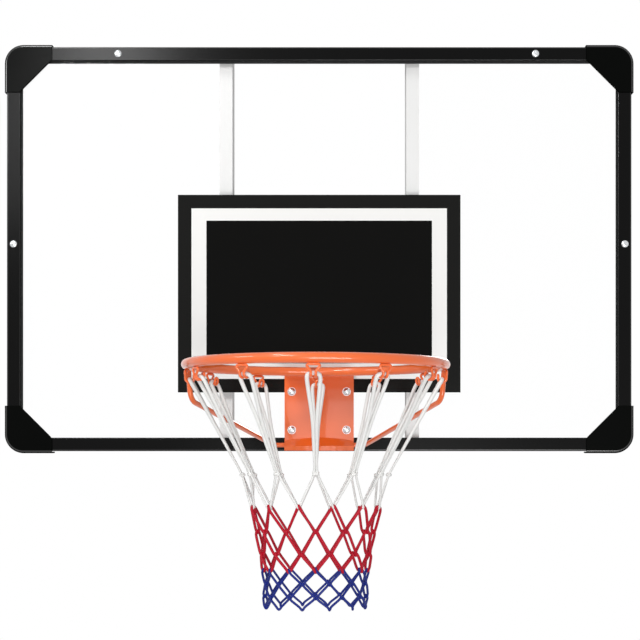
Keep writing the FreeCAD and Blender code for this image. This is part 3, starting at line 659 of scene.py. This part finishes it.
    def tie(self, hook: int, slant: float) -> list[Vector]:
        """A turn of cord round the two legs at the first knot.

        Args:
            hook: The number of the hook from the front.
            slant: How far its right side hangs lower than its middle.

        Returns:
            Control points of the turn.
        """
        _, half, radius = self.legs[0]
        turns = [math.tau * step / self.tie_points for step in range(self.tie_points)]
        return [self.place(2 * hook, (half + self.tie_aside * radius) * math.cos(angle),
                           self.radii[0] + self.tie_out * radius * math.sin(angle),
                           self.drops[0] + slant * math.cos(angle), self.tie_share * radius)
                for angle in turns]

    def white_cord(self) -> bpy.types.Object:
        """Lay the white cord over every hook, with two crossed turns round its legs at each knot.

        Returns:
            The finished piece.
        """
        cord = Cord()
        controls: list[Vector] = []
        thin = self.legs[0][2]
        for hook in range(self.hooks):
            loop = self.white_loop(hook)
            bend = self.bight(self.red_row, 2 * hook + 1, thin, 1)
            following = self.white_loop(hook + 1)[0]
            controls += loop + self.between(loop[-1], bend[0]) + bend + self.between(bend[-1], following)
        cord.lay(controls)
        for hook in range(self.hooks):
            for slant in (-thin, thin):
                cord.lay(self.tie(hook, slant))
        return cord.piece("net_white_cord")

    def ring(self, row: int, radius: float) -> list[Vector]:
        """A closed ring of cord that runs between the knots of a row and those of the next.

        Args:
            row: The upper row.
            radius: The cord's radius.

        Returns:
            Control points of the ring.
        """
        controls: list[Vector] = []
        bends = []
        for place in range(self.hooks):
            upper = 2 * place + row % 2
            bends.append(self.bight(row, upper, radius, -1))
            bends.append(self.bight(row + 1, upper + 1, radius, 1))
        for bend, following in zip(bends, bends[1:] + bends[:1]):
            controls += bend + self.between(bend[-1], following[0])
        return controls

    def colour_rings(self, name: str, rows: range, radius: float) -> bpy.types.Object:
        """Lay the rings of one colour.

        Args:
            name: The piece's name.
            rows: The upper row of each ring.
            radius: The cord's radius.

        Returns:
            The finished piece.
        """
        cord = Cord()
        for row in rows:
            cord.lay(self.ring(row, radius))
        return cord.piece(name)

    def build(self) -> None:
        """Lay all the cords in place of the CAD net pieces, which are hidden, and dress them."""
        white = self.white_cord()
        last_row = len(self.drops) - 1
        red = self.colour_rings("net_red_cords", range(self.red_row, self.blue_row), self.red_radius)
        blue = self.colour_rings("net_blue_cords", range(self.blue_row, last_row), self.blue_radius)
        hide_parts("net_loops", "net_white_mesh")
        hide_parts("net_red_mesh")
        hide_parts("net_blue_mesh")
        for piece, finish in ((white, WHITE_CORD), (red, RED_CORD), (blue, BLUE_CORD)):
            finish.dress(piece)
            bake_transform(piece)


@dataclass(frozen=True)
class SoftBox:
    """A square studio lamp that points at the board.

    Attributes:
        name: The lamp's name.
        place: Where it stands, in metres.
        aim: The point it faces.
        size: Its width and height.
        power: Its power in watts.
    """

    name: str
    place: tuple[float, float, float]
    aim: tuple[float, float, float]
    size: tuple[float, float]
    power: float

    def build(self) -> None:
        """Add the lamp to the scene."""
        lamp = bpy.data.lights.new(self.name, "AREA")
        lamp.shape = "RECTANGLE"
        lamp.size, lamp.size_y = self.size
        lamp.energy = self.power
        stand = bpy.data.objects.new(self.name, lamp)
        stand.location = self.place
        stand.rotation_mode = "QUATERNION"
        stand.rotation_quaternion = (Vector(self.aim) - Vector(self.place)).to_track_quat("-Z", "Y")
        bpy.context.scene.collection.objects.link(stand)


@dataclass
class Studio:
    """A white studio: soft lamps, a pale floor far below the board and the camera.

    Attributes:
        camera_place: Where the camera stands, in metres.
        focal_length: Its focal length in millimetres on a 36 mm sensor.
        shift: How far its picture is shifted, as shares of the picture's width.
        floor_drop: Height of the ring above the floor.
        floor_size: Width of the floor.
        ambient: Brightness of the white surroundings on the object.
        floor_glow: Share of the floor's white that doesn't depend on the lamps.
        floor_colour: Colour of the floor's paint.
        lamps: The soft boxes.
    """

    camera_place: tuple[float, float, float] = (0.04, -2.6363, -0.3925)
    focal_length: float = 66.8
    shift: tuple[float, float] = (-0.0277, 0.1734)
    floor_drop: float = 3.05
    floor_size: float = 9.0
    ambient: float = 0.24
    floor_glow: float = 0.93
    floor_colour: str = "#F5F5F5"
    lamps: tuple[SoftBox, ...] = (
        SoftBox("key_lamp", (-0.96, -2.65, 1.24), (0.0, -0.2, 0.0), (0.4, 0.4), 19.0),
        SoftBox("top_panel", (-1.1, -1.63, 2.15), (-0.55, -0.06, 0.43), (0.3, 0.85), 15.0),
        SoftBox("side_panel", (-2.13, -1.55, 0.9), (-0.65, -0.06, 0.3), (0.7, 0.45), 11.5),
        SoftBox("rail_panel", (-1.36, -2.65, 0.85), (-0.66, -0.06, 0.2), (0.25, 0.6), 4.5),
        SoftBox("low_fill", (0.6, -3.0, -1.3), (0.1, -0.2, -0.2), (1.6, 0.9), 42.0),
        SoftBox("front_panel", (0.1, -3.0, -0.65), (0.0, 0.0, -0.35), (1.2, 0.8), 6.0),
        SoftBox("back_panel", (0.4, 3.0, 0.9), (0.0, 0.0, 0.0), (1.6, 1.2), 55.0),
    )

    def seen_directly(self, tree: Tree) -> bpy.types.NodeSocket:
        """Tell the rays that show the white surroundings from those that light the object.

        Args:
            tree: The tree that asks.

        Returns:
            A socket that is 1 for camera, mirror and see-through rays, and 0 for the rest.
        """
        rays = add_node(tree, "ShaderNodeLightPath")
        shown = rays.outputs["Is Camera Ray"]
        for kind in ("Is Glossy Ray", "Is Transmission Ray"):
            shown = add_node(tree, "ShaderNodeMath", {"operation": "MAXIMUM"},
                             {0: shown, 1: rays.outputs[kind]}).outputs["Value"]
        return shown

    def build_world(self) -> None:
        """Make the white surroundings."""
        world = bpy.data.worlds.new("white_studio")
        world.use_nodes = True
        tree = world.node_tree
        tree.nodes.clear()
        level = add_node(tree, "ShaderNodeMix", {MIX_NUMBER_A: self.ambient, MIX_NUMBER_B: 1.0},
                         {MIX_FACTOR: self.seen_directly(tree)})
        light = add_node(tree, "ShaderNodeBackground", {"Color": linear(WHITE)},
                         {"Strength": level.outputs[MIX_NUMBER_OUT]})
        add_node(tree, "ShaderNodeOutputWorld", links={"Surface": light.outputs["Background"]})
        bpy.context.scene.world = world

    def build_floor(self) -> None:
        """Lay a pale floor that takes the shadow and reads as white."""
        low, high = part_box("rim_ring")
        half = self.floor_size / 2
        level = (low.z + high.z) / 2 - self.floor_drop
        mesh = bpy.data.meshes.new("floor")
        corners = [(x * half, y * half, level) for x, y in ((-1, -1), (1, -1), (1, 1), (-1, 1))]
        mesh.from_pydata(corners, [], [(0, 1, 2, 3)])
        floor = bpy.data.objects.new("floor", mesh)
        bpy.context.scene.collection.objects.link(floor)
        material = bpy.data.materials.new("pale_floor")
        material.use_nodes = True
        tree = material.node_tree
        tree.nodes.clear()
        paint = add_node(tree, "ShaderNodeBsdfDiffuse", {"Color": linear(self.floor_colour)})
        glow = add_node(tree, "ShaderNodeEmission", {"Color": linear(WHITE), "Strength": 1.0})
        share = add_node(tree, "ShaderNodeMath", {"operation": "MULTIPLY", 1: self.floor_glow},
                         {0: self.seen_directly(tree)})
        surface = add_node(tree, "ShaderNodeMixShader", links={
            0: share.outputs["Value"], 1: paint.outputs["BSDF"], 2: glow.outputs["Emission"]})
        add_node(tree, "ShaderNodeOutputMaterial", links={"Surface": surface.outputs["Shader"]})
        mesh.materials.append(material)

    def build_camera(self) -> None:
        """Stand the camera in front of the board, level and square to it."""
        lens = bpy.data.cameras.new("camera")
        lens.lens = self.focal_length
        lens.shift_x, lens.shift_y = self.shift
        camera = bpy.data.objects.new("camera", lens)
        camera.location = self.camera_place
        camera.rotation_euler = (math.pi / 2, 0.0, 0.0)
        bpy.context.scene.collection.objects.link(camera)
        bpy.context.scene.camera = camera

    def build(self) -> None:
        """Build the surroundings, lamps, floor and camera."""
        bpy.context.scene.view_settings.view_transform = "Standard"
        self.build_world()
        self.build_floor()
        for lamp in self.lamps:
            lamp.build()
        self.build_camera()


def main() -> None:
    """Dress the CAD nodes, lay the net and set up the studio."""
    logging.basicConfig(level=logging.INFO, format="%(name)s: %(message)s")
    for assembly in (Panel(), BoardFrame(), Supports(), Rim()):
        assembly.dress()
    Net().build()
    Studio().build()


if __name__ == "__main__":
    main()
